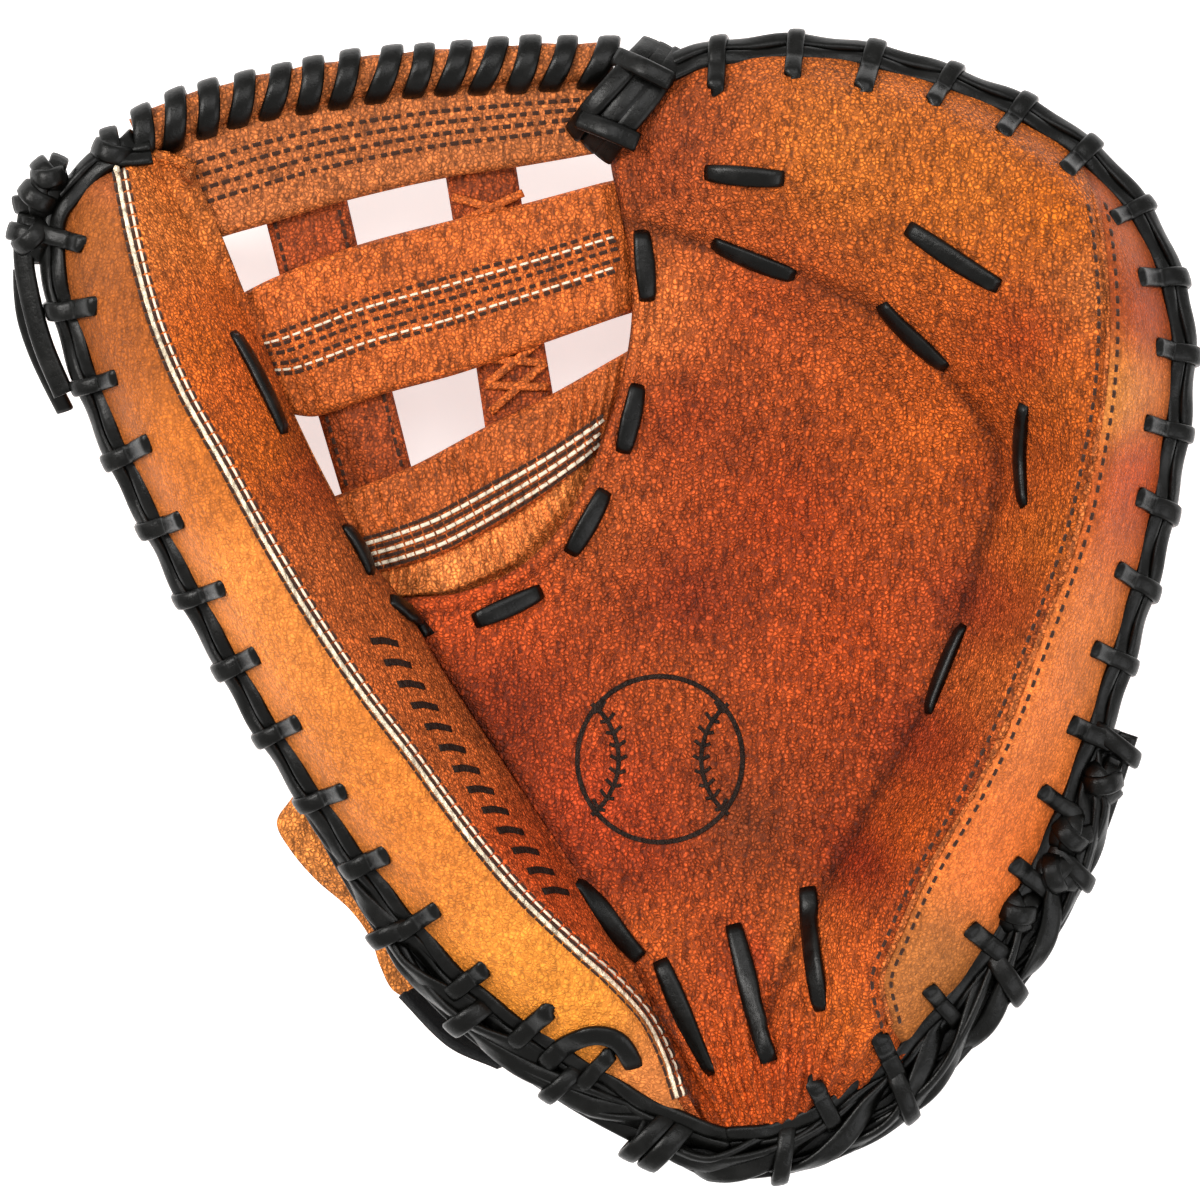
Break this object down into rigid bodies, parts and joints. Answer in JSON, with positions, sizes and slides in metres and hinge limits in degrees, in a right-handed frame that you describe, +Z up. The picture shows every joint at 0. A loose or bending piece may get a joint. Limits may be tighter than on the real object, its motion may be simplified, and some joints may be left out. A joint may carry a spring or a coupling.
{
  "type": "baseball catcher's mitt",
  "caption": "Left-hand baseball catcher's mitt with padded rim, laced net web and deep pocket, open on its back; thumb half folds and wrist tab peels.",
  "frame": {"origin": "on the floor plane the back rests on, under the left part of the pocket, at the middle of the mitt's outline in plan", "axes": "+Z up, away from the floor, out of the pocket; +Y towards the fingertips; +X towards the little finger's side"},
  "size_m": [0.2853, 0.2744, 0.0814],
  "materials": {
    "pocket_leather": "matt, pebbled, oiled darker in the pocket",
    "rim_leather": "satin, pebbled, tan",
    "black_lace": "satin rawhide lace",
    "felt_padding": "wool felt",
    "lining_leather": "soft matt leather",
    "fleece": "synthetic fleece",
    "piping": "pale piping with white thread",
    "hook_and_loop": "hook-and-loop tape"
  },
  "bodies": {
    "palm": {"pocket_leather": "pocket_leather", "finger_rim_leather": "pocket_leather", "finger_rim_welt": "piping", "palm_pad": "felt_padding", "finger_pad": "felt_padding", "palm_lining": "lining_leather", "index_stall": "lining_leather", "middle_stall": "lining_leather", "ring_stall": "lining_leather", "little_stall": "lining_leather", "little_finger_loop": "lining_leather", "finger_back": "pocket_leather", "wrist_band": "rim_leather", "wrist_fleece": "fleece", "wrist_binding": "rim_leather", "loop_patch": "hook_and_loop", "web_top_bar": "rim_leather", "web_middle_bar": "rim_leather", "web_lower_bar": "rim_leather", "web_crescent": "pocket_leather", "web_thumb_post": "rim_leather", "web_finger_post": "rim_leather", "web_top_binding": "rim_leather", "web_top_lace": "black_lace", "web_palm_lace": "black_lace", "crotch_lace": "black_lace", "pocket_lace": "black_lace", "finger_anchor_lace": "black_lace", "heel_anchor_lace": "black_lace", "finger_edge_lace": "black_lace", "finger_edge_loops": "black_lace", "heel_lace": "black_lace", "finger_knot": "black_lace"},
    "thumb": {"thumb_rim_leather": "rim_leather", "thumb_panel_leather": "rim_leather", "thumb_piping": "piping", "thumb_pad": "felt_padding", "thumb_stall": "lining_leather", "thumb_loop": "lining_leather", "thumb_back": "rim_leather", "thumb_wrist_band": "rim_leather", "thumb_fleece": "fleece", "thumb_wrist_tab": "rim_leather", "thumb_edge_lace": "black_lace", "thumb_edge_loops": "black_lace", "thumb_heel_lace": "black_lace", "web_thumb_lace": "black_lace", "thumb_tip_knot": "black_lace", "lace_tail": "black_lace"},
    "strap": {"strap_tab": "rim_leather", "hook_patch": "hook_and_loop"}
  },
  "joints": [
    {"name": "thumb_fold", "type": "hinge", "parent": "palm", "child": "thumb", "pos_m": [0.0255, -0.12, 0.046], "axis": [-0.5062, 0.8624, 0], "range_deg": [0, 55]},
    {"name": "strap_open", "type": "hinge", "parent": "palm", "child": "strap", "pos_m": [0.0757, -0.0927, 0.003], "axis": [0.65, 0.76, 0], "range_deg": [0, 50]}
  ]
}
